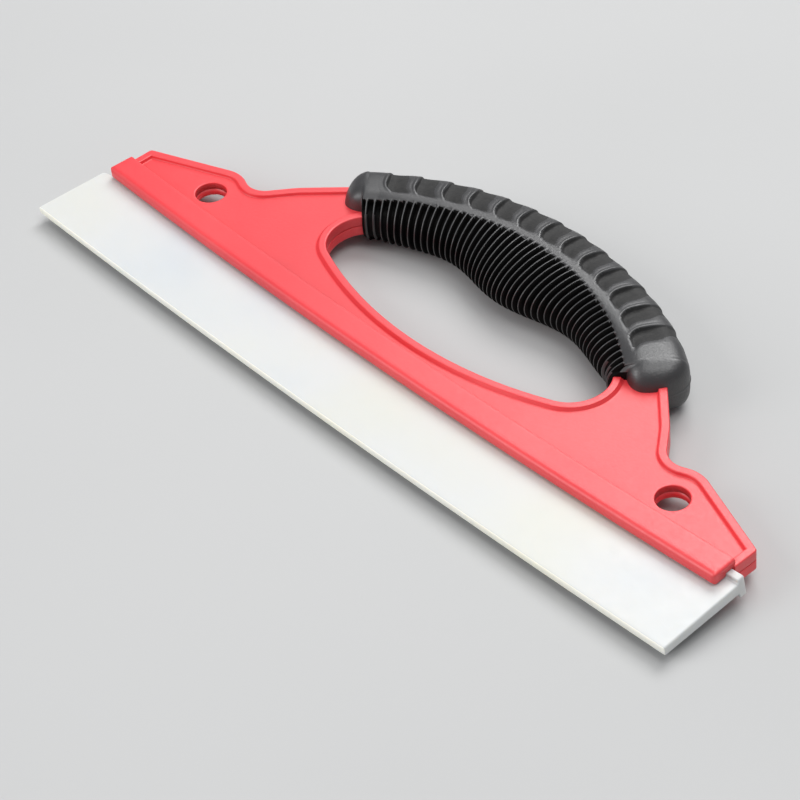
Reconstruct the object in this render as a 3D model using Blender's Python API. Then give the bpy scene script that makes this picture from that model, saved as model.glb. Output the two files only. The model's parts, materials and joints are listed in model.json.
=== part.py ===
"""One-hand squeegee applicator: a red two-shell frame, a soft grip and a flexible silicone blade.

Everything is designed flat, in the plane of the tool: x runs along the blade, y from the blade
towards the handle, z through the thickness, with the joint between the shells at z = 0.
A parent empty then lays the tool down as it rests on a table, on its grip and its blade holder.
All sizes are in metres.
"""
import math

import bmesh
import bpy
import numpy as np
from mathutils import Matrix, Vector

MM = 0.001
GAP = 0.3 * MM

# Blade holder: a channel bowed towards the blade, concentric arcs about a far centre.
BOW_RADIUS = 3044 * MM
HOLDER_HALF_LENGTH = 148 * MM
HOLDER_DEPTH = 9.8 * MM
HOLDER_HALF_THICKNESS = 6.7 * MM
NOSE_RADIUS = 1.9 * MM
BACK_EDGE = 0.6 * MM
MOUTH_HALF_HEIGHT = 2.5 * MM
LIP_DEPTH = 5.5 * MM
SLOT_BACK = 8.9 * MM
SLOT_HALF_HEIGHT = 3.7 * MM

# Frame plate with a raised rim on both faces.
RIM_HALF_THICKNESS = 4.0 * MM
FLOOR_HALF_THICKNESS = 2.75 * MM
RIM_WIDTH = 3.0 * MM
FRAME_HALF_LENGTH = 148 * MM
SHOULDER_Y = 22.5 * MM
KNEE = (112.6 * MM, 35.8 * MM)
NECK = (101.3 * MM, 31.3 * MM)
ARM = (91.0 * MM, 44.0 * MM)
BAR_END = (72.0 * MM, 62.0 * MM)
BAR_TOP = (27.0 * MM, 84.3 * MM)
HANG_HOLE = (113.2 * MM, 22.1 * MM)
HANG_HOLE_RADIUS = 5.6 * MM

# Hand hole: a flat arc below, round corners, and a flat arc above that the grip hides.
HAND_LOWER_CENTRE_Y = 166.8 * MM
HAND_LOWER_RADIUS = 149.8 * MM
HAND_CORNER = (50.5 * MM, 40.2 * MM)
HAND_CORNER_RADIUS = 13.5 * MM
HAND_UPPER_CENTRE_Y = -29.9 * MM
HAND_UPPER_RADIUS = 99.9 * MM

# Grip: a ring sector about one centre, with finger waves on its inner side.
GRIP_CENTRE_Y = -29.0 * MM
GRIP_BACK_RADIUS = 120.6 * MM
GRIP_BACK_SPREAD = 3.2 * MM
GRIP_FRONT_RADIUS_LIMIT = 98.0 * MM
GRIP_HALF_ANGLE = math.radians(42.0)
GRIP_CAP_START = 0.88
GRIP_HALF_THICKNESS = 10.4 * MM
FINGER_LINE_Y = 55.1 * MM
FINGER_LINE_FALL = 3.5 * MM
FINGER_LINE_HALF = 57.0 * MM
FINGER_WAVE = 2.2 * MM
FINGER_PITCH = 56.0 * MM
THUMB_NOTCHES = 13
THUMB_PITCH = math.radians(5.43)
THUMB_DEPTH = 0.9 * MM

# Blade: a T head held in the channel, and a lip that bends in front of it.
BLADE_HALF_LENGTH = 153.0 * MM
HEAD_BACK = 8.6 * MM
HEAD_FRONT = 5.8 * MM
HEAD_HALF_HEIGHT = 3.4 * MM
WEB_HALF_THICKNESS = 1.75 * MM
TIP_HALF_THICKNESS = 1.45 * MM
LIP_ROOT = -1.6 * MM
LIP_TIP = -26.4 * MM
LIP_EXTRA_AT_ENDS = 0.057

# The origin lies below the middle of the resting tool's box.
BOX_CENTRE_Y = 32.445 * MM


def clear_scene():
    for item in list(bpy.data.objects):
        bpy.data.objects.remove(item, do_unlink=True)


def plastic(name, colour, roughness):
    material = bpy.data.materials.new(name)
    material.use_nodes = True
    shader = material.node_tree.nodes["Principled BSDF"]
    shader.inputs["Base Color"].default_value = (*colour, 1.0)
    shader.inputs["Roughness"].default_value = roughness
    shader.inputs["Metallic"].default_value = 0.0
    return material


def rounded_outline(corners, radii, grow=0.0, steps=6):
    """Corner points given anticlockwise, moved outwards by grow, with every corner filleted."""
    points = [Vector(corner) for corner in corners]
    count = len(points)
    moved = []
    for i in range(count):
        before = (points[i] - points[i - 1]).normalized()
        after = (points[(i + 1) % count] - points[i]).normalized()
        normal = Vector((before.y + after.y, -before.x - after.x)).normalized()
        miter = grow / max(0.2, normal.dot(Vector((before.y, -before.x))))
        moved.append(points[i] + normal * miter)
    outline = []
    for i in range(count):
        before = (moved[i] - moved[i - 1]).normalized()
        after = (moved[(i + 1) % count] - moved[i]).normalized()
        turn = math.atan2(before.cross(after), before.dot(after))
        radius = max(0.2 * MM, radii[i] + (grow if turn > 0 else -grow))
        reach = radius * abs(math.tan(turn / 2))
        if reach < 1e-6:
            outline.append(moved[i])
            continue
        start = moved[i] - before * reach
        side = 1 if turn > 0 else -1
        centre = start + Vector((-before.y, before.x)) * radius * side
        for k in range(steps + 1):
            swing = Matrix.Rotation(turn * k / steps, 2)
            outline.append(centre + swing @ (start - centre))
    return outline


def mesh_object(name, bm, home, material=None):
    mesh = bpy.data.meshes.new(name)
    bmesh.ops.recalc_face_normals(bm, faces=bm.faces)
    bm.to_mesh(mesh)
    bm.free()
    item = bpy.data.objects.new(name, mesh)
    bpy.context.collection.objects.link(item)
    item.parent = home
    if material:
        mesh.materials.append(material)
    return item


def prism(name, outline, low, high, home, material=None):
    """A flat outline extruded from height low to height high."""
    bm = bmesh.new()
    base = bm.faces.new([bm.verts.new((p[0], p[1], low)) for p in outline])
    top = bmesh.ops.extrude_face_region(bm, geom=[base])
    lifted = [v for v in top["geom"] if isinstance(v, bmesh.types.BMVert)]
    bmesh.ops.translate(bm, verts=lifted, vec=(0, 0, high - low))
    return mesh_object(name, bm, home, material)


def bow_point(along, depth):
    """A place measured along the bowed holder and across it, as x and y."""
    angle = along / BOW_RADIUS
    radius = BOW_RADIUS - depth
    return radius * math.sin(angle), BOW_RADIUS - radius * math.cos(angle)


def bowed_bar(name, profile, half_length, home, material=None, extra_at_ends=0.0, steps=14):
    """A profile of depths and heights swept along the bow, a little deeper towards its ends."""
    bm = bmesh.new()
    rings = []
    for part in np.linspace(-1, 1, steps + 1):
        ring = []
        for depth, height in profile:
            x, y = bow_point(half_length * part, depth * (1 + extra_at_ends * part * part))
            ring.append(bm.verts.new((x, y, height)))
        rings.append(ring)
    count = len(profile)
    for one, two in zip(rings, rings[1:]):
        for i in range(count):
            j = (i + 1) % count
            bm.faces.new((one[i], one[j], two[j], two[i]))
    bm.faces.new(rings[0])
    bm.faces.new(list(reversed(rings[-1])))
    return mesh_object(name, bm, home, material)


def boolean(item, tool, operation):
    modifier = item.modifiers.new(tool.name, "BOOLEAN")
    modifier.operation = operation
    modifier.object = tool
    tool.hide_render = True
    tool.display_type = "WIRE"


def mirrored(corners):
    """The right-hand corners of a symmetric outline, listed upwards, joined by their left twins."""
    return list(corners) + [(-x, y) for x, y in reversed(corners)]


def frame_outline(grow=0.0):
    lower = bow_point(FRAME_HALF_LENGTH, SLOT_BACK + 0.4 * MM)[1] + grow
    right = [(FRAME_HALF_LENGTH, lower), (FRAME_HALF_LENGTH, SHOULDER_Y), KNEE, NECK, ARM, BAR_END, BAR_TOP]
    radii = [0.0, 1.5 * MM, 12 * MM, 8 * MM, 35 * MM, 25 * MM, 70 * MM]
    outline = rounded_outline(mirrored(right), radii + radii[::-1], grow)
    inner_edge = [bow_point(s, SLOT_BACK + 0.4 * MM) for s in np.linspace(-0.9, 0.9, 9) * FRAME_HALF_LENGTH]
    return outline + [Vector(point) for point in inner_edge]


def arc(centre_x, centre_y, radius, start, end, steps):
    turns = np.linspace(start, end, steps + 1)
    return [(centre_x + radius * math.cos(a), centre_y + radius * math.sin(a)) for a in turns]


def hand_outline(grow=0.0):
    """The hand hole anticlockwise from the middle of its lower edge, moved outwards by grow."""
    x, y = HAND_CORNER
    low_turn = math.atan2(y - HAND_LOWER_CENTRE_Y, x)
    high_turn = math.atan2(y - HAND_UPPER_CENTRE_Y, x)
    lower = HAND_LOWER_RADIUS + grow
    corner = HAND_CORNER_RADIUS + grow
    upper = HAND_UPPER_RADIUS + grow
    right = arc(0, HAND_LOWER_CENTRE_Y, lower, -math.pi / 2, low_turn, 6)[:-1]
    right += arc(x, y, corner, low_turn, high_turn, 10)
    right += arc(0, HAND_UPPER_CENTRE_Y, upper, high_turn, math.pi / 2, 5)[1:]
    left = [(-px, py) for px, py in reversed(right[1:-1])]
    return [Vector(point) for point in right + left]


def circle_outline(centre_x, centre_y, radius, sides=24):
    return arc(centre_x, centre_y, radius, 0, 2 * math.pi, sides)[:-1]


def holder_profile(side):
    """One jaw of the channel: a round nose, a hooked lip and a back wall, above or below the joint."""
    bend = NOSE_RADIUS * (1 - math.cos(math.radians(45)))
    upper = [
        (0.9 * MM, MOUTH_HALF_HEIGHT),
        (0.0, MOUTH_HALF_HEIGHT + 0.7 * MM),
        (0.0, HOLDER_HALF_THICKNESS - NOSE_RADIUS),
        (bend, HOLDER_HALF_THICKNESS - bend),
        (NOSE_RADIUS, HOLDER_HALF_THICKNESS),
        (HOLDER_DEPTH - BACK_EDGE, HOLDER_HALF_THICKNESS),
        (HOLDER_DEPTH, HOLDER_HALF_THICKNESS - BACK_EDGE),
        (HOLDER_DEPTH, GAP / 2),
        (SLOT_BACK, GAP / 2),
        (SLOT_BACK, SLOT_HALF_HEIGHT),
        (LIP_DEPTH, SLOT_HALF_HEIGHT),
        (LIP_DEPTH, MOUTH_HALF_HEIGHT),
    ]
    return [(depth, side * height) for depth, height in upper]


def frame_shell(name, side, home, material):
    """One moulded shell: plate, rims, hand hole, hang holes and one jaw of the blade holder."""
    low, high = sorted((side * GAP / 2, side * RIM_HALF_THICKNESS))
    shell = prism(name, frame_outline(), low, high, home, material)
    low, high = sorted((side * FLOOR_HALF_THICKNESS, side * 6 * MM))
    recess = prism(name + "_recess", frame_outline(-RIM_WIDTH), low, high, home)
    hand_rim = prism(name + "_hand_rim", hand_outline(RIM_WIDTH), -7 * MM, 7 * MM, home)
    boolean(recess, hand_rim, "DIFFERENCE")
    boolean(shell, recess, "DIFFERENCE")
    hand_hole = prism(name + "_hand_hole", hand_outline(), -8 * MM, 8 * MM, home)
    boolean(shell, hand_hole, "DIFFERENCE")
    for hole_side in (-1, 1):
        centre_x = hole_side * HANG_HOLE[0]
        ring = circle_outline(centre_x, HANG_HOLE[1], HANG_HOLE_RADIUS)
        hole = prism(name + "_hang_hole", ring, -8 * MM, 8 * MM, home)
        boolean(shell, hole, "DIFFERENCE")
    jaw = bowed_bar(name + "_jaw", holder_profile(side), HOLDER_HALF_LENGTH, home)
    boolean(shell, jaw, "UNION")
    return shell


def finger_line(x):
    """The height y of the grip's finger side: a gentle arch with three swellings."""
    fall = FINGER_LINE_FALL * (x / FINGER_LINE_HALF) ** 4
    return FINGER_LINE_Y - fall - FINGER_WAVE * math.cos(2 * math.pi * x / FINGER_PITCH)


def grip_ring(angle, sides):
    """One cross-section of the grip at an angle about its centre."""
    end = abs(angle) / GRIP_HALF_ANGLE
    rise = max(0.0, (end - 0.24) / 0.76)
    back = GRIP_BACK_RADIUS + GRIP_BACK_SPREAD * rise * rise * (3 - 2 * rise)
    front = GRIP_FRONT_RADIUS_LIMIT
    for _ in range(5):
        front = (finger_line(front * math.sin(angle)) - GRIP_CENTRE_Y) / math.cos(angle)
    front = min(front, GRIP_FRONT_RADIUS_LIMIT)
    round_off = max(0.0, (end - GRIP_CAP_START) / (1 - GRIP_CAP_START))
    shrink = math.sqrt(max(0.0, 1 - (0.96 * round_off) ** 2.4))
    middle = (back + front) / 2
    half_depth = (back - front) / 2 * (0.32 + 0.68 * shrink)
    half_height = GRIP_HALF_THICKNESS * (0.55 + 0.45 * shrink)
    notch_phase = math.cos(2 * math.pi * angle / THUMB_PITCH)
    notched = max(0.0, notch_phase) if abs(angle) < THUMB_PITCH * (THUMB_NOTCHES / 2) else 0.0
    ring = []
    for turn in np.linspace(0, 2 * math.pi, sides, endpoint=False):
        c, s = math.cos(turn), math.sin(turn)
        across = math.copysign(abs(c) ** 0.8, c)
        height = math.copysign(abs(s) ** 0.8, s)
        dent = THUMB_DEPTH * notched * max(0.0, c)
        radius = middle + half_depth * across - dent
        y = GRIP_CENTRE_Y + radius * math.cos(angle)
        ring.append((radius * math.sin(angle), y, half_height * height))
    return ring


def grip_rings(stations=80, sides=16):
    angles = np.linspace(-GRIP_HALF_ANGLE, GRIP_HALF_ANGLE, stations + 1)
    return [grip_ring(angle, sides) for angle in angles]


def grip_solid(home, material):
    bm = bmesh.new()
    rings = [[bm.verts.new(point) for point in ring] for ring in grip_rings()]
    sides = len(rings[0])
    for one, two in zip(rings, rings[1:]):
        for i in range(sides):
            j = (i + 1) % sides
            bm.faces.new((one[i], one[j], two[j], two[i]))
    bm.faces.new(rings[0])
    bm.faces.new(list(reversed(rings[-1])))
    return mesh_object("grip", bm, home, material)


def grip_sleeve(home, material):
    """The rubber grip with a tunnel that clears the frame's handle bar all round."""
    sleeve = grip_solid(home, material)
    high = RIM_HALF_THICKNESS + GAP
    bar = prism("grip_tunnel", frame_outline(GAP), -high, high, home)
    hand = prism("grip_tunnel_hand", hand_outline(-GAP), -8 * MM, 8 * MM, home)
    boolean(bar, hand, "DIFFERENCE")
    for side in (-1, 1):
        low, high = sorted((side * (FLOOR_HALF_THICKNESS + GAP), side * 6 * MM))
        name = "grip_tunnel_floor_" + ("low" if side < 0 else "high")
        floor = prism(name, frame_outline(-RIM_WIDTH - GAP), low, high, home)
        rim = prism(name + "_rim", hand_outline(RIM_WIDTH + GAP), -7 * MM, 7 * MM, home)
        boolean(floor, rim, "DIFFERENCE")
        boolean(bar, floor, "DIFFERENCE")
    boolean(sleeve, bar, "DIFFERENCE")
    return sleeve


def blade_head(home, material):
    """The T head and the web of the blade, up to just in front of the channel's mouth."""
    shoulder = HEAD_FRONT - 0.6 * MM
    upper = [
        (LIP_ROOT + 0.5 * MM, WEB_HALF_THICKNESS * 0.6),
        (LIP_ROOT + 1.4 * MM, WEB_HALF_THICKNESS),
        (shoulder, WEB_HALF_THICKNESS),
        (HEAD_FRONT, WEB_HALF_THICKNESS + 0.5 * MM),
        (HEAD_FRONT, HEAD_HALF_HEIGHT),
        (HEAD_BACK, HEAD_HALF_HEIGHT),
    ]
    profile = upper + [(depth, -height) for depth, height in reversed(upper)]
    return bowed_bar("blade_head", profile, BLADE_HALF_LENGTH, home, material)


def blade_lip(home, material):
    """The free lip of the blade, from its root to the wiping edge."""
    upper = [
        (LIP_TIP, TIP_HALF_THICKNESS),
        (LIP_ROOT - 0.9 * MM, WEB_HALF_THICKNESS),
        (LIP_ROOT, WEB_HALF_THICKNESS * 0.6),
    ]
    profile = upper + [(depth, -height) for depth, height in reversed(upper)]
    return bowed_bar("blade_lip", profile, BLADE_HALF_LENGTH, home, material, LIP_EXTRA_AT_ENDS)


def resting_place():
    """Tilt the tool until the grip touches the table on which the holder's nose already lies."""
    slopes = [(-z - HOLDER_HALF_THICKNESS) / (y - NOSE_RADIUS) for ring in grip_rings() for x, y, z in ring]
    tilt = math.atan(max(slopes))
    lift = HOLDER_HALF_THICKNESS * math.cos(tilt) - NOSE_RADIUS * math.sin(tilt)
    return Matrix.Translation((0, -BOX_CENTRE_Y, lift)) @ Matrix.Rotation(tilt, 4, "X")


def build():
    clear_scene()
    home = bpy.data.objects.new("tool_plane", None)
    bpy.context.collection.objects.link(home)
    red = plastic("red moulding", (0.80, 0.10, 0.09), 0.38)
    rubber = plastic("black rubber", (0.045, 0.045, 0.048), 0.55)
    silicone = plastic("milky silicone", (0.80, 0.82, 0.80), 0.40)
    frame_shell("frame_upper", 1, home, red)
    frame_shell("frame_lower", -1, home, red.copy())
    grip_sleeve(home, rubber)
    blade_head(home, silicone)
    blade_lip(home, silicone.copy())
    home.matrix_world = resting_place()


build()
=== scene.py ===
# %% [markdown]
# # A one-hand squeegee applicator
# The real tool is a flat red frame moulded in two shells that meet at mid-thickness. It holds a
# long silicone blade in a bowed channel, and a bent rubber grip closes the hand hole. The packed
# model gives the bodies, the joints and plain solids. Those could be dressed as they are, but
# they have no fins, scoops or soft edges, so this notebook builds finer pieces in their place.

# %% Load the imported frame
import json
import math

import bmesh
import bpy
import numpy as np
from mathutils import Matrix
from mathutils.geometry import tessellate_polygon


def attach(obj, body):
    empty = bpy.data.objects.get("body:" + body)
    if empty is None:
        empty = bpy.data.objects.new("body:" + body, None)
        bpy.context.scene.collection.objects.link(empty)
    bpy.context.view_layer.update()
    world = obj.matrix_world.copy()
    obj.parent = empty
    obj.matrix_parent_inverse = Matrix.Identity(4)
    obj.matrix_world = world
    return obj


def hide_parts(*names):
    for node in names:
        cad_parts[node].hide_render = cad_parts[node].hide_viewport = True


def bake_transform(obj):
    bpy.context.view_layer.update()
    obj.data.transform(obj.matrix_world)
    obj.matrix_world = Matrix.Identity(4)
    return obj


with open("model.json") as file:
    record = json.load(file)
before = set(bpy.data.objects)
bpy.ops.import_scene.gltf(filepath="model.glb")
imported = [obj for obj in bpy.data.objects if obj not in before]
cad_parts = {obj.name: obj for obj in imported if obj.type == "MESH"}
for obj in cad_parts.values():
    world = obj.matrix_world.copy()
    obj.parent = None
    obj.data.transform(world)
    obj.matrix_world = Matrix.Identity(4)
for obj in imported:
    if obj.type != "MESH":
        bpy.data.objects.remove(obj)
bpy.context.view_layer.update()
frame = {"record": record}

# %% [markdown]
# ## The tool's own plane
# The tool lies a little tilted on the table, on its grip and its blade holder. It could be drawn
# level and turned afterwards, but a piece has to keep its place in its mesh. So every shape is
# drawn flat, in millimetres, and its points are placed: x along the blade, y from the blade to
# the handle, and z through the thickness, with the joint between the shells at zero. The sliding
# joint of the blade gives that plane: its axis is square to it, and its place is the centre of
# the holder's bow.

# %% Read the plane from the sliding joint
MM = 0.001
BOW_RADIUS = 3044.0

slide = next(j for j in frame["record"]["behaviour"]["joints"] if j["name"] == "blade_slide")
ALONG = np.array([1.0, 0.0, 0.0])
UP = np.array(slide["axis"]) / np.linalg.norm(slide["axis"])
ACROSS = np.cross(UP, ALONG)
ORIGIN = np.array(slide["pos_m"]) - BOW_RADIUS * MM * ACROSS
print("tilt on the table: %.2f degrees" % math.degrees(math.acos(UP[2])))


# %% Place points, and follow the bow
def place(points):
    """World positions: origin plus x along, y across and z up, each times its direction."""
    points = np.asarray(points, float) * MM
    return ORIGIN + points[..., :1] * ALONG + points[..., 1:2] * ACROSS + points[..., 2:3] * UP


def bow(along, depth):
    """A place measured round the holder's bow: x is the radius times the sine of the angle, and
    y is the bow's radius less the radius times the cosine."""
    angle = np.asarray(along) / BOW_RADIUS
    radius = BOW_RADIUS - np.asarray(depth)
    return radius * np.sin(angle), BOW_RADIUS - radius * np.cos(angle)


print("the bow rises %.2f mm from its middle to its ends" % bow(148.0, 0.0)[1])

# %% [markdown]
# ## Outlines
# The frame's outline is straight sides with rounded corners, as on most mouldings. It could be a
# curve object with a bevel, but then its edges couldn't change along the way. Here an outline is
# a list of corners, each with its own radius. Growing it moves every side out by the same
# distance and keeps the number of points, so that grown copies join up as rings.

# %% Ease from one value to another
def smooth_step(low, high, value):
    """Nought below low, one above high, and three t squared minus two t cubed between them."""
    t = np.clip((np.asarray(value, float) - low) / (high - low), 0, 1)
    return t * t * (3 - 2 * t)


print("half of the way:", smooth_step(0, 1, 0.5))


# %% Round the corners of an outline
def rounded(corners, radii, grow=0.0, steps=10, least=0.05):
    """Corners given anticlockwise are moved out by grow along their miters. Each becomes an arc:
    it starts radius times the tangent of half the turn before the corner, and goes on by radius
    times sine along the side and radius times one less cosine to the left."""
    corners = np.asarray(corners, float)
    before = corners - np.roll(corners, 1, axis=0)
    before /= np.linalg.norm(before, axis=1)[:, None]
    after = np.roll(before, -1, axis=0)
    normal = np.stack([before[:, 1] + after[:, 1], -before[:, 0] - after[:, 0]], axis=1)
    normal /= np.linalg.norm(normal, axis=1)[:, None]
    miter = grow / (normal[:, 0] * before[:, 1] - normal[:, 1] * before[:, 0])
    moved = corners + normal * miter[:, None]
    cross = before[:, 0] * after[:, 1] - before[:, 1] * after[:, 0]
    turn = np.arctan2(cross, (before * after).sum(axis=1))
    side = np.where(turn > 0, 1.0, -1.0)
    radius = np.maximum(least, np.asarray(radii) + grow * side)
    start = moved - before * (radius * np.abs(np.tan(turn / 2)))[:, None]
    left = np.stack([-before[:, 1], before[:, 0]], axis=1) * side[:, None]
    sweep = np.abs(turn)[:, None, None] * np.linspace(0, 1, steps + 1)[:, None]
    bent = before[:, None] * np.sin(sweep) + left[:, None] * (1 - np.cos(sweep))
    return (start[:, None] + radius[:, None, None] * bent).reshape(-1, 2)


square = rounded([(0, 0), (10, 0), (10, 10), (0, 10)], [2, 2, 2, 2])
print("a rounded square has", len(square), "points")


# %% Arcs, mirrored corners and short sides
def arc(centre, radius, start, end, steps):
    """Points at the centre plus the radius times the cosine and the sine of evenly spaced angles."""
    turns = np.linspace(start, end, steps + 1)
    return np.stack([centre[0] + radius * np.cos(turns), centre[1] + radius * np.sin(turns)], axis=1)


def both_sides(right):
    """The right-hand corners of a symmetric outline, listed upwards, joined by their twins."""
    return [tuple(corner) for corner in right] + [(-x, y) for x, y in reversed(right)]


def finer(outline, longest):
    """Each side is cut into equal parts, as many as its length holds of the longest, rounded up."""
    ahead = np.roll(outline, -1, axis=0) - outline
    count = np.maximum(1, np.ceil(np.linalg.norm(ahead, axis=1) / longest)).astype(int)
    side = np.repeat(np.arange(len(outline)), count)
    part = (np.arange(len(side)) - (np.cumsum(count) - count)[side]) / count[side]
    return outline[side] + ahead[side] * part[:, None]


print("cut into sides of 1 mm it has", len(finer(square, 1.0)))

# %% [markdown]
# ## From points to a mesh
# Every piece below is a grid of points: the columns go round a section and the rows go along the
# piece. Blender's own primitives could be sculpted towards such shapes, but a grid worked out as
# one array is exact and quick. The faces are numbers of points, and from_pydata takes both.

# %% Number the corners of the faces
def ring_quads(rows, columns):
    """Point i, j of a grid has the number i times columns plus j, and each row closes into a
    ring. A face takes a point, its neighbour in the ring, and the same two in the next row."""
    here = np.arange(rows - 1)[:, None] * columns + np.arange(columns)
    beside = np.arange(rows - 1)[:, None] * columns + (np.arange(columns) + 1) % columns
    return np.stack([here, beside, beside + columns, here + columns], axis=-1).reshape(-1, 4)


def gather(grids):
    """All points of several grids in one list, their faces, and each grid's first number."""
    starts = np.cumsum([0] + [grid.shape[0] * grid.shape[1] for grid in grids])[:-1]
    points = np.concatenate([grid.reshape(-1, 3) for grid in grids])
    faces = [ring_quads(*grid.shape[:2]) + start for grid, start in zip(grids, starts)]
    return points, np.concatenate(faces).tolist(), starts


def end_faces(grid, start):
    """The first and the last ring of a grid as one flat face each."""
    first = start + np.arange(grid.shape[1])
    return [first.tolist(), (first + (grid.shape[0] - 1) * grid.shape[1]).tolist()]


print("a grid of 3 rings with 4 points has", len(ring_quads(3, 4)), "faces")


# %% Put a surface into a mesh
def to_object(name, points, faces, body, replaced, materials, kinds=None):
    """Points in the tool's plane become a piece that faces outwards and rides on a body; kinds
    gives each face the number of its material."""
    mesh = bpy.data.meshes.new(name)
    mesh.from_pydata(place(points).tolist(), [], faces)
    if kinds is not None:
        mesh.polygons.foreach_set("material_index", np.asarray(kinds, np.int32))
    turned = bmesh.new()
    turned.from_mesh(mesh)
    bmesh.ops.recalc_face_normals(turned, faces=turned.faces)
    turned.to_mesh(mesh)
    turned.free()
    mesh.shade_smooth()
    piece = bpy.data.objects.new(name, mesh)
    bpy.context.collection.objects.link(piece)
    if body:
        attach(piece, body)
    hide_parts(*replaced)
    for material in materials:
        mesh.materials.append(material)
    print(name, len(mesh.polygons), "faces, size in mm", np.round(np.ptp(points, axis=0), 1).tolist())
    return piece


print("pieces can be made")

# %% [markdown]
# ## Finishes
# Moulded plastic and rubber aren't one flat colour: each has a slow drift of tone, a fine
# texture in its gloss, and a small bump. A painted texture could carry that, but it would need
# unwrapping and would look coarse close up. Noise read from object coordinates, in metres,
# stays on the piece and is sharp at any distance. What is the same all over, such as the
# refraction or the gloss level, is set on the shader itself.

# %% Start a material
def new_material(name, base, roughness, ior, sheen_level=0.5):
    """A principled material with its even values set on the shader's own sockets."""
    material = bpy.data.materials.new(name)
    material.use_nodes = True
    nodes = material.node_tree.nodes
    shader = nodes["Principled BSDF"]
    shader.inputs["Base Color"].default_value = (*base, 1.0)
    shader.inputs["Roughness"].default_value = roughness
    shader.inputs["IOR"].default_value = ior
    shader.inputs["Specular IOR Level"].default_value = sheen_level
    return material, nodes, material.node_tree.links, shader


def noise(nodes, links, scale, detail):
    """Noise in object coordinates: scale is its number of blotches per metre."""
    place_node = nodes.new("ShaderNodeTexCoord")
    texture = nodes.new("ShaderNodeTexNoise")
    texture.inputs["Scale"].default_value = scale
    texture.inputs["Detail"].default_value = detail
    links.new(place_node.outputs["Object"], texture.inputs["Vector"])
    return texture.outputs["Fac"]


print("material helpers: start and noise")


# %% Turn noise into colour, gloss and bump
def ramp(nodes, links, source, stops):
    """Colours at places from nought to one along the source value."""
    node = nodes.new("ShaderNodeValToRGB")
    while len(node.color_ramp.elements) < len(stops):
        node.color_ramp.elements.new(0.5)
    for element, (position, colour) in zip(node.color_ramp.elements, stops):
        element.position = position
        element.color = (*colour, 1.0)
    links.new(source, node.inputs["Fac"])
    return node.outputs["Color"]


def spread(nodes, links, source, low, high):
    """The middle of the noise, from 0.3 to 0.7, stretched over low to high."""
    node = nodes.new("ShaderNodeMapRange")
    node.inputs["From Min"].default_value = 0.3
    node.inputs["From Max"].default_value = 0.7
    node.inputs["To Min"].default_value = low
    node.inputs["To Max"].default_value = high
    links.new(source, node.inputs["Value"])
    return node.outputs["Result"]


def bump(nodes, links, source, height, shader):
    """Small hills on the surface, as high in metres as height where the noise is one."""
    node = nodes.new("ShaderNodeBump")
    node.inputs["Strength"].default_value = 1.0
    node.inputs["Distance"].default_value = height
    links.new(source, node.inputs["Height"])
    links.new(node.outputs["Normal"], shader.inputs["Normal"])


print("material helpers: ramp, spread and bump")

# %% [markdown]
# ### Red moulding
# The shells are a tough red plastic with a satin face that reflects a bright light as a soft
# sheen. A glossier plastic with a clear coat would mirror the light too sharply, so the base
# stays rather rough and only its reflection is strengthened.

# %% Red moulding
def red_moulding():
    """Drift of 22 blotches per metre in three reds, and a grain of 900 in gloss and bump."""
    material, nodes, links, shader = new_material("red moulding", (0.78, 0.04, 0.05), 0.42, 1.5, 0.85)
    drift = noise(nodes, links, 22.0, 3.0)
    tones = [(0.3, (0.74, 0.030, 0.040)), (0.5, (0.80, 0.036, 0.046)), (0.72, (0.84, 0.048, 0.056))]
    links.new(ramp(nodes, links, drift, tones), shader.inputs["Base Color"])
    grain = noise(nodes, links, 900.0, 6.0)
    links.new(spread(nodes, links, grain, 0.37, 0.47), shader.inputs["Roughness"])
    bump(nodes, links, grain, 0.00004, shader)
    return material


RED = red_moulding()
print("material:", RED.name)

# %% [markdown]
# ### Black rubber
# The grip is soft rubber, smooth and faintly shiny on its crests. Between its fins hardly any
# light gets in, and its thumb scoops are duller than the rest. One material could darken the gaps
# by the shape's hollowness, but the export can't carry that, so the gaps and the step behind the
# last fin get a near-black rubber that is painted shade, and the scoops get a duller rubber of
# their own, both chosen face by face.

# %% Black rubber, the painted shade of its gaps, and the dull rubber of its scoops
def black_rubber():
    """Drift of 60 blotches per metre in three near blacks, and a grain of 1600."""
    material, nodes, links, shader = new_material("black rubber", (0.02, 0.02, 0.021), 0.5, 1.52, 1.0)
    drift = noise(nodes, links, 60.0, 4.0)
    tones = [(0.3, (0.011, 0.011, 0.011)), (0.5, (0.016, 0.015, 0.016)), (0.75, (0.026, 0.025, 0.024))]
    links.new(ramp(nodes, links, drift, tones), shader.inputs["Base Color"])
    grain = noise(nodes, links, 1600.0, 5.0)
    links.new(spread(nodes, links, grain, 0.36, 0.5), shader.inputs["Roughness"])
    bump(nodes, links, grain, 0.00006, shader)
    return material


def dull_and_shaded_rubber(name, tone, sheen_level):
    """Unpolished rubber: a grain from 0.7 to about 1.5 times the tone. With a near-black tone it is painted
    shade.
    """
    material, nodes, links, shader = new_material(name, (tone, tone, tone), 0.7, 1.5, sheen_level)
    tones = [(0.3, (0.7 * tone, 0.7 * tone, 0.7 * tone)), (0.7, (1.6 * tone, 1.5 * tone, 1.4 * tone))]
    grain = noise(nodes, links, 900.0, 4.0)
    links.new(ramp(nodes, links, grain, tones), shader.inputs["Base Color"])
    bump(nodes, links, grain, 0.00012, shader)
    return material


RUBBER = black_rubber()
# The near-black gap rubber is painted shade for the fin gaps and the step behind the last fin.
GAP_SHADE = dull_and_shaded_rubber("gap shade rubber", 0.0022, 0.1)
SCOOP = dull_and_shaded_rubber("scoop rubber", 0.014, 0.6)
print("materials:", RUBBER.name, GAP_SHADE.name, SCOOP.name)

# %% [markdown]
# ### Milky silicone
# The blade is cloudy silicone: light goes a few millimetres into it and comes out again. Real
# transmission would be slow and noisy for something so cloudy, so light only scatters below the
# surface. The wiping edge gathers light and looks lighter and a little yellow, so the same
# recipe is used for it with more warmth and a lighter tone.

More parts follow.
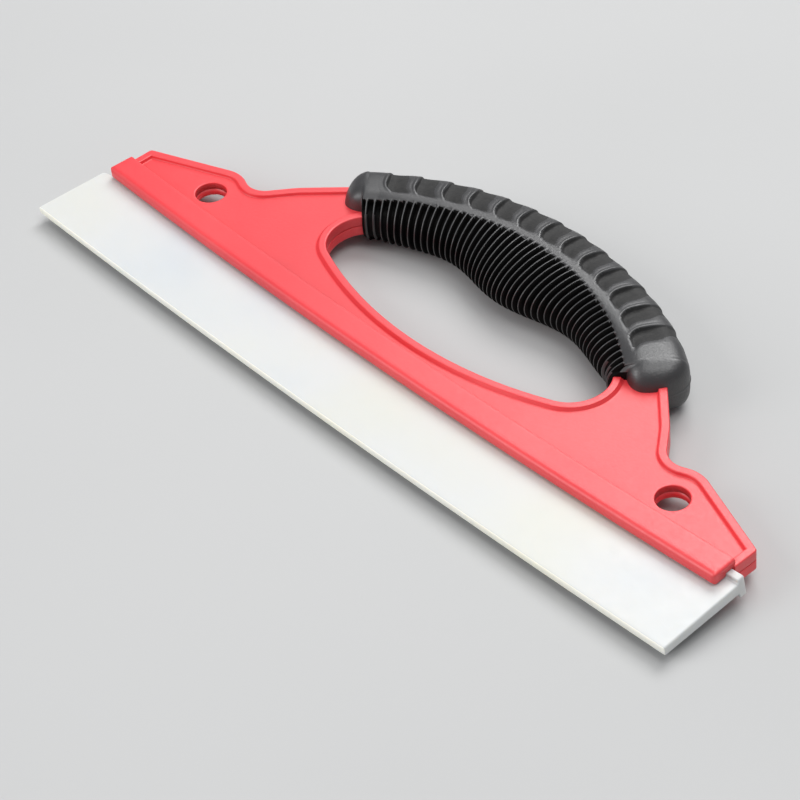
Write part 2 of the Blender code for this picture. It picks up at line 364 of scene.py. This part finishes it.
# %% Milky silicone
def milky_silicone(name, warmth, tone):
    """Blotches of near white times the tone; warmth takes away blue, and 0.3 of it green."""
    material, nodes, links, shader = new_material(name, (0.85, 0.86, 0.84), 0.34, 1.42)
    shader.inputs["Subsurface Weight"].default_value = 0.35
    shader.inputs["Subsurface Radius"].default_value = (1.0, 0.9, 0.75)
    shader.inputs["Subsurface Scale"].default_value = 0.003
    drift = noise(nodes, links, 14.0, 2.0)
    blotches = [(0.3, (0.93, 0.97, 0.99)), (0.5, (1.0, 1.01, 0.99)), (0.72, (1.01, 1.01, 0.92))]
    tint = np.array([1.0, 1.0 - 0.3 * warmth, 1.0 - warmth]) * tone
    tones = [(position, tuple(np.array(colour) * tint)) for position, colour in blotches]
    links.new(ramp(nodes, links, drift, tones), shader.inputs["Base Color"])
    haze = noise(nodes, links, 300.0, 4.0)
    links.new(spread(nodes, links, haze, 0.28, 0.42), shader.inputs["Roughness"])
    bump(nodes, links, haze, 0.00003, shader)
    return material


SILICONE = milky_silicone("milky silicone", 0.0, 0.66)
EDGE_SILICONE = milky_silicone("wiping edge silicone", 0.13, 0.97)
print("materials:", SILICONE.name, EDGE_SILICONE.name)

# %% [markdown]
# ## The red frame
# On the real frame a raised rim runs round the outside and round the hand hole, and a flat floor
# lies between them. It could be cut out of a solid with booleans and bevelled, but thin rims
# come out ragged that way. Here a rounded profile gives insets and heights, and a copy of the
# outline grown by each inset makes one ring of the wall. The floor and the joint face are filled
# flat between the rings of the outside, the hand hole and the two hang holes.

# %% The outside
HALF_LENGTH = 148.0
PLATE_EDGE = 9.2
FRAME_RIGHT = [(HALF_LENGTH, 22.5), (112.6, 35.8), (101.3, 31.3), (91.0, 44.0), (72.0, 62.0),
               (27.0, 84.3)]
FRAME_RADII = [1.5, 12.0, 8.0, 35.0, 25.0, 70.0]


def frame_outline(inset):
    """Rounded corners moved in by inset; inside the holder the edge follows the bow instead, at
    the plate edge's depth and a tenth of the inset deeper."""
    edge = PLATE_EDGE + 0.1 * inset
    low = bow(HALF_LENGTH, edge)[1] - inset
    right = [(HALF_LENGTH, low)] + FRAME_RIGHT
    radii = [0.1] + FRAME_RADII
    outline = rounded(both_sides(right), radii + radii[::-1], -inset, steps=14, least=0.1)
    inner = np.stack(bow(np.linspace(-0.93, 0.93, 25) * HALF_LENGTH, edge), axis=1)
    return np.concatenate([outline, inner])


print("the outside has", len(frame_outline(0.0)), "points")

# %% The hand hole and the hang holes
HAND_LOWER = ((0.0, 166.8), 149.8)
HAND_CORNER = ((50.5, 40.2), 13.5)
HAND_UPPER = ((0.0, -29.9), 99.9)
HANG_HOLE = ((113.2, 22.1), 5.6)


def hand_outline(grow):
    """Three arcs on the right, each with its radius plus grow, and their twins on the left."""
    (corner_x, corner_y), radius = HAND_CORNER
    low = math.atan2(corner_y - HAND_LOWER[0][1], corner_x)
    high = math.atan2(corner_y - HAND_UPPER[0][1], corner_x)
    lower = arc(HAND_LOWER[0], HAND_LOWER[1] + grow, -math.pi / 2, low, 24)[:-1]
    corner = arc(HAND_CORNER[0], radius + grow, low, high, 30)
    upper = arc(HAND_UPPER[0], HAND_UPPER[1] + grow, high, math.pi / 2, 16)[1:]
    right = np.concatenate([lower, corner, upper])
    left = right[-2:0:-1] * [-1, 1]
    return np.concatenate([right, left])


def hang_outline(side, grow):
    """A full circle with its radius plus grow, on the right or mirrored to the left."""
    (x, y), radius = HANG_HOLE
    return arc((side * x, y), radius + grow, 0, 2 * math.pi, 64)[:-1]


print("the hand hole is %.1f mm wide" % np.ptp(hand_outline(0.0)[:, 0]))

# %% The rims' profile
SEAM = 0.15
RIM_TOP = 4.0
FLOOR = 2.75
RIM_WIDTH = 3.0
HAND_RIM_WIDTH = 2.8
OUTER_ROUND, INNER_ROUND, FOOT_ROUND = 0.55, 0.45, 0.5
HANG_ROUND = 0.35


def quarter(radius, outwards, steps=4):
    """A rounded edge as pairs of inset and height, measured from the sharp corner: the radius
    times one less cosine, and less the radius times one less sine."""
    turns = np.linspace(0, math.pi / 2, steps + 1)
    if outwards:
        return [(radius * (1 - math.cos(a)), -radius * (1 - math.sin(a))) for a in turns]
    return [(-radius * (1 - math.sin(a)), -radius * (1 - math.cos(a))) for a in turns]


def rim_profile(width, draft):
    """Pairs of inset and height: from the seam up the wall, over the rim and down to the floor."""
    rows = [(0.18, SEAM), (0.05, SEAM + 0.06), (0.0, SEAM + 0.2), (0.0, RIM_TOP - OUTER_ROUND - 0.15)]
    rows += [(d, RIM_TOP + z) for d, z in quarter(OUTER_ROUND, True)]
    rows += [(OUTER_ROUND + 0.15, RIM_TOP), (width - INNER_ROUND - 0.15, RIM_TOP)]
    rows += [(width + d, RIM_TOP + z) for d, z in quarter(INNER_ROUND, False)]
    toe = width + draft
    turns = np.linspace(0, math.pi / 2, 5)
    rows += [(toe + FOOT_ROUND * (1 - math.cos(a)), FLOOR + FOOT_ROUND * (1 - math.sin(a))) for a in turns]
    return rows + [(toe + FOOT_ROUND + 0.25, FLOOR)]


def hang_profile():
    """Pairs of inset and height for a hole without a rim."""
    rows = [(0.0, SEAM), (0.0, FLOOR - HANG_ROUND - 0.1)]
    rows += [(d, FLOOR + z) for d, z in quarter(HANG_ROUND, True)]
    return rows + [(0.6, FLOOR)]


print("rim profile:", len(rim_profile(RIM_WIDTH, 0.1)), "steps")


# %% Walls, and flat faces between them
def wall(profile, outline, side):
    """Ring k of a wall is the outline moved by the profile's inset k, at its height k."""
    rings = [(outline(inset), side * height) for inset, height in profile]
    return np.stack([np.column_stack([ring, np.full(len(ring), z)]) for ring, z in rings])


def plate_walls(side):
    """The walls of the outside, the hand hole and the two hang holes of one shell."""
    walls = [wall(rim_profile(RIM_WIDTH, 0.1), frame_outline, side)]
    walls.append(wall(rim_profile(HAND_RIM_WIDTH, 0.5), hand_outline, side))
    for end in (-1, 1):
        walls.append(wall(hang_profile(), lambda grow, end=end: hang_outline(end, grow), side))
    return walls


def fill_between(walls, starts, row):
    """Triangles over the flat region between the first wall's ring and the rings inside it."""
    rings = [grid[row] for grid in walls]
    first = [start + (row % len(grid)) * grid.shape[1] for start, grid in zip(starts, walls)]
    numbers = [number + np.arange(len(ring)) for number, ring in zip(first, rings)]
    triangles = np.array(tessellate_polygon([ring.tolist() for ring in rings]))
    return np.concatenate(numbers)[triangles].tolist()


print("walls of one shell:", [grid.shape[:2] for grid in plate_walls(1)])

# %% [markdown]
# ## The blade holder
# The holder is a channel along the bow, with a round nose in front and a hooked lip that keeps
# the blade's head in. It could be an extrusion bent with a modifier, but the bend would also
# turn the corners at its ends. Here one rounded profile is carried round the bow as an array,
# and near the ends its nose draws back and its top dips a little, as a moulding's corners do.

# %% Carry a profile round the bow
def carry_round_bow(profile, half_length, end_radius, steps, reshape):
    """Rings of a closed profile at even places along the bow. The last rings stand back from
    the half length by the end radius times one less cosine, with an inset of the end radius
    times one less sine, and reshape trims each ring by its inset."""
    turns = np.linspace(0, math.pi / 2, 6)
    low = -half_length + end_radius * (1 - np.cos(turns))
    trim = end_radius * (1 - np.sin(turns))
    body = np.linspace(low[-1], -low[-1], steps + 1)[1:-1]
    along = np.concatenate([low, body, -low[::-1]])[:, None]
    inset = np.concatenate([trim, np.zeros(len(body)), trim[::-1]])[:, None]
    along, depth, height = reshape(profile, along, inset)
    x, y = bow(along, depth)
    return np.stack(np.broadcast_arrays(x, y, height), axis=-1)


straight = carry_round_bow(np.eye(3)[:, :2], 10.0, 1.0, 4, lambda p, x, inset: (x, p[:, 0], p[:, 1]))
print("a short bar has", straight.shape[0], "rings")

# %% The holder's half
HOLDER_DEPTH = 9.8
HOLDER_TOP = 6.7
HOLDER_END_RADIUS = 1.6
MOUTH = 2.5
LIP_DEPTH = 5.5
SLOT_BACK = 8.9
SLOT_HEIGHT = 3.7


def round_corners(profile, along, inset):
    """Depths are kept above the inset, and heights within the holder's top less half of it."""
    top = HOLDER_TOP - 0.5 * inset
    return along, np.maximum(profile[:, 0], inset), np.clip(profile[:, 1], -top, top)


def holder_grid(side):
    """The channel's section: nose, mouth, lip, slot and back wall, from the seam to the top."""
    corners = [
        (0.0, MOUTH), (LIP_DEPTH, MOUTH), (LIP_DEPTH, SLOT_HEIGHT), (SLOT_BACK, SLOT_HEIGHT),
        (SLOT_BACK, SEAM), (HOLDER_DEPTH, SEAM), (HOLDER_DEPTH, HOLDER_TOP), (0.0, HOLDER_TOP),
    ]
    radii = [1.0, 0.35, 0.2, 0.3, 0.1, 0.12, 0.5, 2.0]
    profile = finer(rounded(corners, radii, steps=6), 1.2) * [1, side]
    return carry_round_bow(profile, HALF_LENGTH, HOLDER_END_RADIUS, 120, round_corners)


print("holder: %d rings of %d points" % holder_grid(1).shape[:2])


# %% The two shells
def frame_shell(name, side, node):
    """The plate's walls, the flat faces between them, and the holder with its closed ends."""
    walls = plate_walls(side)
    holder = holder_grid(side)
    points, faces, starts = gather(walls + [holder])
    faces += fill_between(walls, starts, 0)
    faces += fill_between(walls, starts, -1)
    faces += end_faces(holder, starts[-1])
    return to_object(name, points, faces, "frame", [node], [RED])


upper_shell = frame_shell("upper_shell", 1, "frame_upper")
lower_shell = frame_shell("lower_shell", -1, "frame_lower")

# %% [markdown]
# ## The blade
# The blade is one silicone strip: a T head inside the holder, a web through its mouth, and a lip
# that thins towards the wiping edge. In the model it is two bodies with a sprung hinge. It could
# be two pieces with a gap at the hinge, but here it is one mesh in its resting shape, which takes
# the place of both and rides on no body.

# %% The blade's section
BLADE_HALF_LENGTH = 153.0
HEAD_BACK = 8.6
HEAD_FRONT = 5.8
HEAD_HEIGHT = 3.4
WEB_HEIGHT = 1.75
TIP_HEIGHT = 1.45
TIP = -26.4


def blade_profile():
    """Corners of the lower half from the tip to the head's back, rounded and mirrored upwards."""
    lower = [(TIP, -TIP_HEIGHT), (-1.0, -WEB_HEIGHT), (HEAD_FRONT - 0.6, -WEB_HEIGHT),
             (HEAD_FRONT, -WEB_HEIGHT - 0.5), (HEAD_FRONT, -HEAD_HEIGHT), (HEAD_BACK, -HEAD_HEIGHT)]
    upper = [(depth, -height) for depth, height in reversed(lower)]
    radii = [0.7, 8.0, 0.4, 0.3, 0.5, 0.5]
    return finer(rounded(lower + upper, radii + radii[::-1], steps=6), 0.8)


def inset_profile(profile, inset):
    """Each point moved in by inset along the mean of its two sides' normals."""
    before = profile - np.roll(profile, 1, axis=0)
    before /= np.maximum(np.linalg.norm(before, axis=1), 1e-9)[:, None]
    after = np.roll(before, -1, axis=0)
    normal = np.stack([-before[:, 1] - after[:, 1], before[:, 0] + after[:, 0]], axis=1)
    normal /= np.maximum(np.linalg.norm(normal, axis=1), 1e-9)[:, None]
    return profile[:, 0] + normal[:, 0] * inset, profile[:, 1] + normal[:, 1] * inset


print("blade section: %d points" % len(blade_profile()))

# %% The blade's ends
LIP_EXTRA_AT_ENDS = 0.057
END_SLANT = 0.18
HEAD_LEFT_CUT = -146.0
HEAD_LEFT_END = -147.7


def blade_shape(profile, along, inset):
    """In front of the holder the depth grows by the extra times the square of the part of the
    half length. The right end shifts by the slant times the height. On the left, the head past
    the cut is squeezed into the short stretch up to the head's end, so that it ends flush."""
    depth, height = inset_profile(profile, inset)
    part = along / BLADE_HALF_LENGTH
    reach = np.where(depth < 0, 1 + LIP_EXTRA_AT_ENDS * part * part, 1.0)
    slant = -END_SLANT * height * smooth_step(0.8, 1.0, part)
    past_cut = np.maximum(0.0, HEAD_LEFT_CUT - along) / (BLADE_HALF_LENGTH + HEAD_LEFT_CUT)
    flush = HEAD_LEFT_CUT + (HEAD_LEFT_END - HEAD_LEFT_CUT) * past_cut
    inside = smooth_step(0.3, 1.2, depth) * (along < HEAD_LEFT_CUT)
    return along + (flush - along) * inside + slant, depth * reach, height


print("the head is flush over %.1f mm" % (BLADE_HALF_LENGTH + HEAD_LEFT_END))

# %% The blade in one mesh
BLADE_END_RADIUS = 0.5
EDGE_WIDTH = 0.35


def on_wiping_edge(centres):
    """True where a face's centre lies nearer to the edge's line than the edge's width. The line
    is the bow's circle, moved by the tip and by the extra length towards the ends."""
    along = centres[:, 0]
    bend = (along / BLADE_HALF_LENGTH) ** 2 * (TIP * LIP_EXTRA_AT_ENDS)
    bowed = bend + BOW_RADIUS - np.sqrt(BOW_RADIUS ** 2 - along ** 2)
    return centres[:, 1] - (TIP + EDGE_WIDTH) < bowed


def blade():
    """The section carried round the bow, closed at its ends, with a lighter wiping edge."""
    grid = carry_round_bow(blade_profile(), BLADE_HALF_LENGTH, BLADE_END_RADIUS, 150, blade_shape)
    points, faces, starts = gather([grid])
    kinds = np.append(on_wiping_edge(points[np.array(faces)].mean(axis=1)), [False, False])
    faces += end_faces(grid, 0)
    strip = to_object("blade_strip", points, faces, None,
                      ["blade_head", "blade_lip"], [SILICONE, EDGE_SILICONE], kinds)
    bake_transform(strip)
    return strip


blade_strip = blade()

# %% [markdown]
# ## The grip
# The grip is a bent sleeve of rubber that is pressed over the frame's bar. Three swellings on
# the finger side fit between the fingers, close-set fins cover that side, and scooped thumb
# notches cross the back. It could be modelled smooth and cut with dozens of boolean tools, but
# those leave stray slivers. Here the whole skin is one function of two angles: the bend angle
# round the bend's centre, and the turn round the section. Fins and notches are depths taken away
# along the skin's normal, so that they follow the swellings and the rounded edges.

# %% The finger side
BEND_CENTRE = -29.0


def finger_line(x):
    """The height of the finger side: an arch that falls with the fourth power, plus three waves."""
    return 55.1 - 3.5 * (x / 57.0) ** 4 - 2.2 * np.cos(2 * math.pi * x / 56.0)


print("finger line at the middle: %.1f mm, at a hollow: %.1f mm" % (finger_line(0.0), finger_line(28.0)))

# %% The rounded caps
CAP_START = 37.8
CAP_END = 42.85
CAP_RADIUS = 109.0
CAP_FRONT_REACH = 6.2
FIN_SPAN = 38.4
FRONT_LIMIT = 96.5


def cap_shape(degrees):
    """The root of one less the 2.3rd power of the part of the cap that is passed: one along the
    grip and nought at its very end."""
    away = np.clip((np.abs(degrees) - CAP_START) / (CAP_END - CAP_START), 0, 1)
    return np.sqrt(1 - away ** 2.3)


def past_fins(degrees):
    """Nought among the fins and one on the caps, over half a degree."""
    return smooth_step(FIN_SPAN, FIN_SPAN + 0.5, np.abs(degrees))


print("the cap is %.2f of the full height after its first half" % cap_shape((CAP_START + CAP_END) / 2))

# %% The front and the back of the sleeve
BACK_RADIUS = 120.6
BACK_SPREAD = 3.2


def front_radius(degrees):
    """The radius where each bend angle meets the finger line, found by repeating the same step:
    the line's height over the centre, divided by the cosine. On the caps it is the cap's radius
    less the reach times the cap's shape."""
    angle = np.radians(degrees)
    radius = np.full(np.shape(degrees), 90.0)
    for _ in range(8):
        radius = (finger_line(radius * np.sin(angle)) - BEND_CENTRE) / np.cos(angle)
    cap = CAP_RADIUS - CAP_FRONT_REACH * cap_shape(degrees)
    outside = past_fins(degrees)
    return np.minimum(radius, FRONT_LIMIT) * (1 - outside) + cap * outside


def back_radius(degrees):
    """The back radius, spread towards the right end, shrinks to the cap's with the cap's shape."""
    back = BACK_RADIUS + BACK_SPREAD * smooth_step(10, 42, degrees)
    return CAP_RADIUS + (back - CAP_RADIUS) * cap_shape(degrees)


print("the grip is %.1f mm deep at its middle" % (back_radius(0.0) - front_radius(0.0)))

# %% The fins
FIN_PITCH = 1.6
FIN_DEPTH = 2.9
FIN_TOP_RADIUS = 102.0
LAST_FINS_SHALLOWER = 2.2


def fin_depth(degrees, radius):
    """A cosine of the bend angle makes the gaps: nought on a fin's crest, and full in the gap's
    middle. The depth falls towards the last fins and ends at the fins' top radius."""
    phase = np.cos(2 * math.pi * degrees / FIN_PITCH)
    gap = smooth_step(-0.82, -0.3, phase) * (np.abs(degrees) < FIN_SPAN + 0.2)
    last = smooth_step(30, 36, np.abs(degrees)) * smooth_step(101, 97.5, radius)
    full = FIN_DEPTH - LAST_FINS_SHALLOWER * last
    return full * gap * smooth_step(FIN_TOP_RADIUS + 0.5, FIN_TOP_RADIUS - 0.5, radius)


print("gap between two fins: %.1f mm deep" % fin_depth(0.0, 90.0))

# %% The thumb notches
NOTCH_PITCH = 5.43
NOTCH_FIRST = -34.9
NOTCH_COUNT = 13
NOTCH_START_RADIUS = 106.3
NOTCH_CURL_RADIUS = 111.8
NOTCH_CURL = 2.4
NOTCH_DEPTH = 1.6
NOTCH_LIP = 0.2
BACK_SHALLOWER = 0.72


def notch_depth(degrees, radius):
    """Each notch has a steep wall and a raised lip on its left, and a floor that climbs to the
    right. Its inner end curls like a quarter of a circle, and it is shallower on the very back."""
    inner = np.clip((NOTCH_CURL_RADIUS - radius) / (NOTCH_CURL_RADIUS - NOTCH_START_RADIUS), 0, 1)
    curl = NOTCH_CURL * (1 - np.sqrt(1 - inner ** 2))
    number = (degrees - NOTCH_FIRST - curl) / NOTCH_PITCH
    part = number - np.floor(number)
    used = (number > -0.1) & (number < NOTCH_COUNT)
    scoop = smooth_step(0.0, 0.07, part) * (1 - smooth_step(0.2, 0.86, part)) * (number > 0)
    lip = NOTCH_LIP * (smooth_step(0.88, 0.97, part) + 1 - smooth_step(0.0, 0.05, part))
    lip = lip * (number < NOTCH_COUNT - 0.3)
    across = smooth_step(NOTCH_START_RADIUS - 0.2, NOTCH_START_RADIUS + 0.8, radius)
    shallow = 1 - BACK_SHALLOWER * smooth_step(113, 119.5, radius)
    return (NOTCH_DEPTH * scoop - lip) * across * shallow * used


print("deepest scoop: %.2f mm" % notch_depth(np.linspace(-35, 35, 2001), 112.0).max())

# %% The whole skin
GRIP_HEIGHT = 10.2
BACK_RIDGE = 0.25
ROUND_POWER = 2.05
BOXY_POWER = 1.55


def grip_surface(degrees, turn):
    """The section is a superellipse: the powers of the depth's and the height's parts add up to
    one. The power is near two on the finger side and higher on the back, which makes it boxier.
    Each point then moves in along the section's normal by the fins' and notches' depths."""
    back = back_radius(degrees)
    front = front_radius(degrees)
    half_depth = (back - front) / 2
    plain = cap_shape(degrees)
    half_height = GRIP_HEIGHT * plain
    cosine, sine = np.cos(turn), np.sin(turn)
    boxy = np.maximum(smooth_step(-0.5, 0.6, cosine), past_fins(degrees))
    power = ROUND_POWER + BOXY_POWER * boxy * plain
    reach = (np.abs(cosine) ** power + np.abs(sine) ** power) ** (-1 / power)
    radius = (back + front) / 2 + half_depth * reach * cosine
    flat = np.sign(cosine) * np.abs(reach * cosine) ** (power - 1) * half_height
    tall = np.sign(sine) * np.abs(reach * sine) ** (power - 1) * half_depth
    size = np.maximum(np.hypot(flat, tall), 1e-6)
    ridge = BACK_RIDGE * (np.abs(turn) < 1e-6) * (plain > 0.05)
    fins = fin_depth(degrees, radius)
    notches = notch_depth(degrees, radius) * (plain > 0.99)
    cut = fins + notches - ridge
    angle = np.radians(degrees)
    radius = radius - cut * flat / size
    z = half_height * reach * sine - cut * tall / size
    return np.stack([radius * np.sin(angle), BEND_CENTRE + radius * np.cos(angle), z], axis=-1), fins, notches


crest = grip_surface(np.array([0.0]), np.array([0.0]))[0]
print("the middle of the back stands at", np.round(crest, 1).tolist())

# %% The grip in one mesh
STEPS_PER_FIN = 12
FINS_PER_SIDE = 24
CAP_STEPS = 34
SECTION_STEPS = 144
# Faces in fin gaps deeper than this get the painted shade.
GAP_SHADE_FROM = 0.35
SCOOP_FROM = 0.25


def bend_angles():
    """Even steps over the fins, and over the caps steps that shrink with the square."""
    count = FINS_PER_SIDE * STEPS_PER_FIN
    even = np.arange(-count, count + 1) * FIN_PITCH / STEPS_PER_FIN
    cap = CAP_END - (CAP_END - even[-1]) * np.linspace(1, 0.0, CAP_STEPS)[1:] ** 2
    return np.concatenate([-cap[-2::-1], even, cap[:-1]])


def face_kinds(degrees, turns, points, fins, notches):
    """One, the painted shade, for deep gaps and for the step down to the bar behind the last fin,
    two for the duller scoops, and nought elsewhere, from the mean depth at each face's corners."""
    fins, notches = [(d + np.roll(d, -1, axis=1)) / 2 for d in (fins, notches)]
    step_middle = FIN_SPAN + 0.25
    step = np.abs(np.abs(degrees[1:] + degrees[:-1]) / 2 - step_middle)[:, None] < 0.26
    inner = (np.cos(turns) < 0)[None, :] & (np.abs(points[1:, :, 2]) < 6.5)
    # deep marks the faces that get the painted shade: the fin gaps and the step behind the last fin.
    deep = (fins[1:] + fins[:-1] > 2 * GAP_SHADE_FROM) | (step & inner)
    scooped = notches[1:] + notches[:-1] > 2 * SCOOP_FROM
    return (deep + 2 * (scooped & ~deep)).ravel()


def pole_faces(columns, start, middle):
    """Triangles from each side of a ring to a middle point, which close the sleeve's end."""
    ring = np.arange(columns)
    return np.column_stack([start + ring, start + (ring + 1) % columns, np.full(columns, middle)]).tolist()


def grip():
    """The skin as a grid, closed with a point at each end."""
    degrees = bend_angles()
    turns = np.linspace(0, 2 * math.pi, SECTION_STEPS, endpoint=False)
    skin, fins, notches = grip_surface(degrees[:, None], turns[None, :])
    points, faces, starts = gather([skin])
    kinds = face_kinds(degrees, turns, skin, fins, notches)
    faces += pole_faces(SECTION_STEPS, 0, len(points))
    faces += pole_faces(SECTION_STEPS, len(points) - SECTION_STEPS, len(points) + 1)
    points = np.concatenate([points, [skin[0].mean(axis=0), skin[-1].mean(axis=0)]])
    kinds = np.append(kinds, np.zeros(2 * SECTION_STEPS, int))
    # The second material is the painted shade in the gaps between the fins.
    return to_object("rubber_grip", points, faces, "frame", ["grip"],
                     [RUBBER, GAP_SHADE, SCOOP], kinds)


rubber_grip = grip()

# %% [markdown]
# ## The floor
# The tool lies on a plain pale floor.

# %% Floor
FLOOR_HALF_SIZE = 4.0


def floor():
    """One square face round the origin, in metres."""
    square = np.array([(-1, -1, 0), (1, -1, 0), (1, 1, 0), (-1, 1, 0)]) * FLOOR_HALF_SIZE
    mesh = bpy.data.meshes.new("floor")
    mesh.from_pydata(square.tolist(), [], [(0, 1, 2, 3)])
    plane = bpy.data.objects.new("floor", mesh)
    bpy.context.collection.objects.link(plane)
    material, nodes, links, shader = new_material("pale floor", (0.53, 0.53, 0.53), 0.7, 1.45)
    tones = [(0.35, (0.49, 0.49, 0.485)), (0.65, (0.515, 0.515, 0.51))]
    links.new(ramp(nodes, links, noise(nodes, links, 3.0, 2.0), tones), shader.inputs["Base Color"])
    mesh.materials.append(material)


floor()
print("floor: %.0f m square" % (2 * FLOOR_HALF_SIZE))

# %% [markdown]
# ## Light
# The red faces and the blade's top show the soft sheen of a large light behind the tool. A lamp
# would leave hard spots, so three square area lights are used: a strong one behind, a weaker one
# above, and a fill from the front and the left that opens the shadows. The surround is an even
# pale sky, which keeps the dark rubber readable.

# %% Softboxes and surround
def facing(away):
    """A rotation whose own z axis points the given way: its x axis is upright cross away, and
    its y axis is away cross x."""
    side = np.cross((0.0, 0.0, 1.0), away)
    side /= np.linalg.norm(side)
    upright = np.cross(away, side)
    return Matrix(np.column_stack([side, upright, away]).tolist()).to_4x4()


def soft_light(name, direction, distance, size, power):
    """A square area light that stands off in a direction and faces the tool."""
    data = bpy.data.lights.new(name, "AREA")
    data.shape = "SQUARE"
    data.size = size
    data.energy = power
    data.color = (1.0, 1.0, 1.0)
    light = bpy.data.objects.new(name, data)
    bpy.context.collection.objects.link(light)
    away = np.array(direction) / np.linalg.norm(direction)
    light.matrix_world = Matrix.Translation(away * distance) @ facing(away)
    print(name, "at", np.round(away * distance, 2).tolist(), "with", power, "W")


def surround():
    """An even sky, slightly blue."""
    world = bpy.data.worlds.new("studio")
    world.use_nodes = True
    background = world.node_tree.nodes["Background"]
    background.inputs["Color"].default_value = (0.92, 0.95, 1.0, 1.0)
    background.inputs["Strength"].default_value = 0.37
    bpy.context.scene.world = world


soft_light("back softbox", (-0.25, 0.55, 0.8), 1.6, 1.0, 18.0)
soft_light("top softbox", (0.25, -0.05, 1.0), 1.5, 0.9, 8.0)
soft_light("front fill", (-0.45, -0.9, 0.6), 1.8, 1.0, 12.0)
surround()

# %% [markdown]
# ## Camera
# The camera looks from the front, from the right and from above, with a long lens that keeps the
# blade's edges nearly parallel. A constraint could aim it at the tool, but its roll would be left
# to chance. So its eye and its two directions are given in the tool's own plane, like a piece.

# %% Camera
EYE = (550.6, -416.1, 603.8)
LENS = 126.0


def camera():
    """The right and forward directions are sums of the plane's own, made square to each other."""
    eye = place([EYE])[0]
    right = 0.6650 * ALONG + 0.7423 * ACROSS - 0.0818 * UP
    forward = -0.5903 * ALONG + 0.4555 * ACROSS - 0.6664 * UP
    right /= np.linalg.norm(right)
    forward -= right * forward.dot(right)
    forward /= np.linalg.norm(forward)
    data = bpy.data.cameras.new("camera")
    data.lens = LENS
    data.clip_end = 20.0
    item = bpy.data.objects.new("camera", data)
    bpy.context.collection.objects.link(item)
    turn = Matrix(np.column_stack([right, np.cross(right, forward), -forward]).tolist()).to_4x4()
    item.matrix_world = Matrix.Translation(eye) @ turn
    bpy.context.scene.camera = item
    print("camera at", np.round(eye, 3).tolist(), "with a lens of", data.lens, "mm")


camera()
bpy.context.scene.view_settings.view_transform = "Standard"
